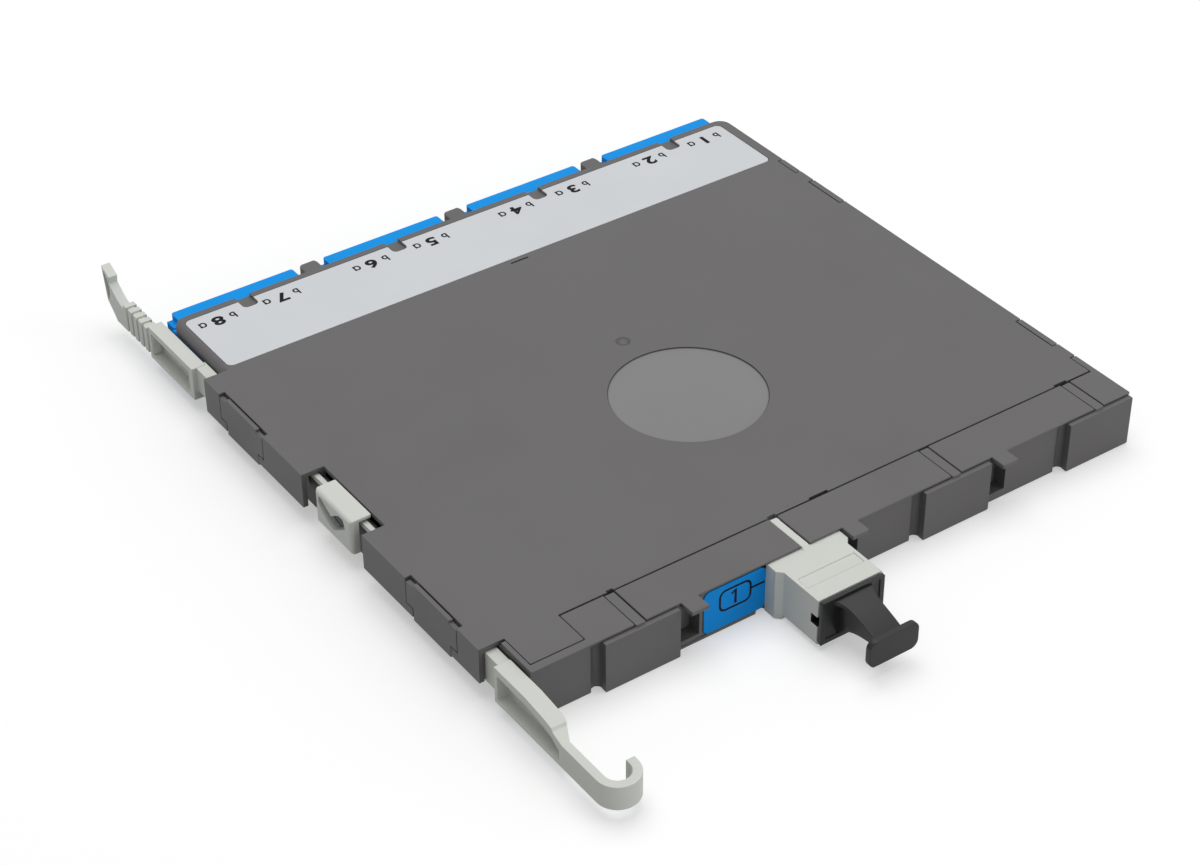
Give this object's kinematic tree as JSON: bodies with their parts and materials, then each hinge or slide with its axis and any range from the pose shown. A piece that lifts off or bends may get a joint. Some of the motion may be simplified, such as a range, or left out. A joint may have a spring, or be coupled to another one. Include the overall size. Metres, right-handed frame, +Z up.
{
  "type": "fibre distribution module",
  "caption": "Flat closed casing that links small front fibre sockets to a capped multi-fibre rear socket, with a sliding release bar along one side.",
  "frame": {"origin": "on the underside, midway across the casing's width", "axes": "+X towards the release slider, +Y towards the multi-fibre rear socket, +Z up through the lid"},
  "size_m": [0.13, 0.1642, 0.0132],
  "materials": {
    "casing": "fine satin texture, dark grey",
    "label": "smooth printed film, pale grey",
    "label_blue": "smooth printed film, blue",
    "port_blue": "satin, bright blue",
    "ceramic": "polished white ceramic",
    "plug_blue": "satin, blue",
    "light_grey": "satin, light grey",
    "black": "satin, black",
    "plug_grey": "satin, mid grey",
    "ribbon": "clear coated, pale blue",
    "fibre": "smooth coat, yellow"
  },
  "bodies": {
    "module": {"base_tray": "casing", "lid": "casing", "adapter_blank_1": "casing", "adapter_blank_2": "casing", "adapter_blank_3": "casing", "port_label": "label", "rear_label": "label_blue", "lc_adapter_1": "port_blue", "lc_adapter_2": "port_blue", "lc_adapter_3": "port_blue", "lc_adapter_4": "port_blue", "sleeves_1": "ceramic", "sleeves_2": "ceramic", "sleeves_3": "ceramic", "sleeves_4": "ceramic", "lc_plug_8a": "plug_blue", "lc_plug_8b": "plug_blue", "lc_plug_7a": "plug_blue", "lc_plug_7b": "plug_blue", "lc_plug_6a": "plug_blue", "lc_plug_6b": "plug_blue", "lc_plug_5a": "plug_blue", "lc_plug_5b": "plug_blue", "lc_plug_4a": "plug_blue", "lc_plug_4b": "plug_blue", "lc_plug_3a": "plug_blue", "lc_plug_3b": "plug_blue", "lc_plug_2a": "plug_blue", "lc_plug_2b": "plug_blue", "lc_plug_1a": "plug_blue", "lc_plug_1b": "plug_blue", "mpo_adapter": "light_grey", "fanout_block": "black", "mpo_plug": "plug_grey", "fibre_ribbon": "ribbon", "fibre_8a": "fibre", "fibre_8b": "fibre", "fibre_7a": "fibre", "fibre_7b": "fibre", "fibre_6a": "fibre", "fibre_6b": "fibre", "fibre_5a": "fibre", "fibre_5b": "fibre", "fibre_4a": "fibre", "fibre_4b": "fibre", "fibre_3a": "fibre", "fibre_3b": "fibre", "fibre_2a": "fibre", "fibre_2b": "fibre", "fibre_1a": "fibre", "fibre_1b": "fibre"},
    "slider": {"release_slider": "light_grey"},
    "dust_cap": {"mpo_dust_cap": "black"}
  },
  "joints": [
    {"name": "slider_slide", "type": "slide", "parent": "module", "child": "slider", "axis": [0, 1, 0], "range_m": [-0.003, 0.003]},
    {"name": "cap_pull", "type": "slide", "parent": "module", "child": "dust_cap", "axis": [0, 1, 0], "range_m": [0, 0.012]}
  ]
}
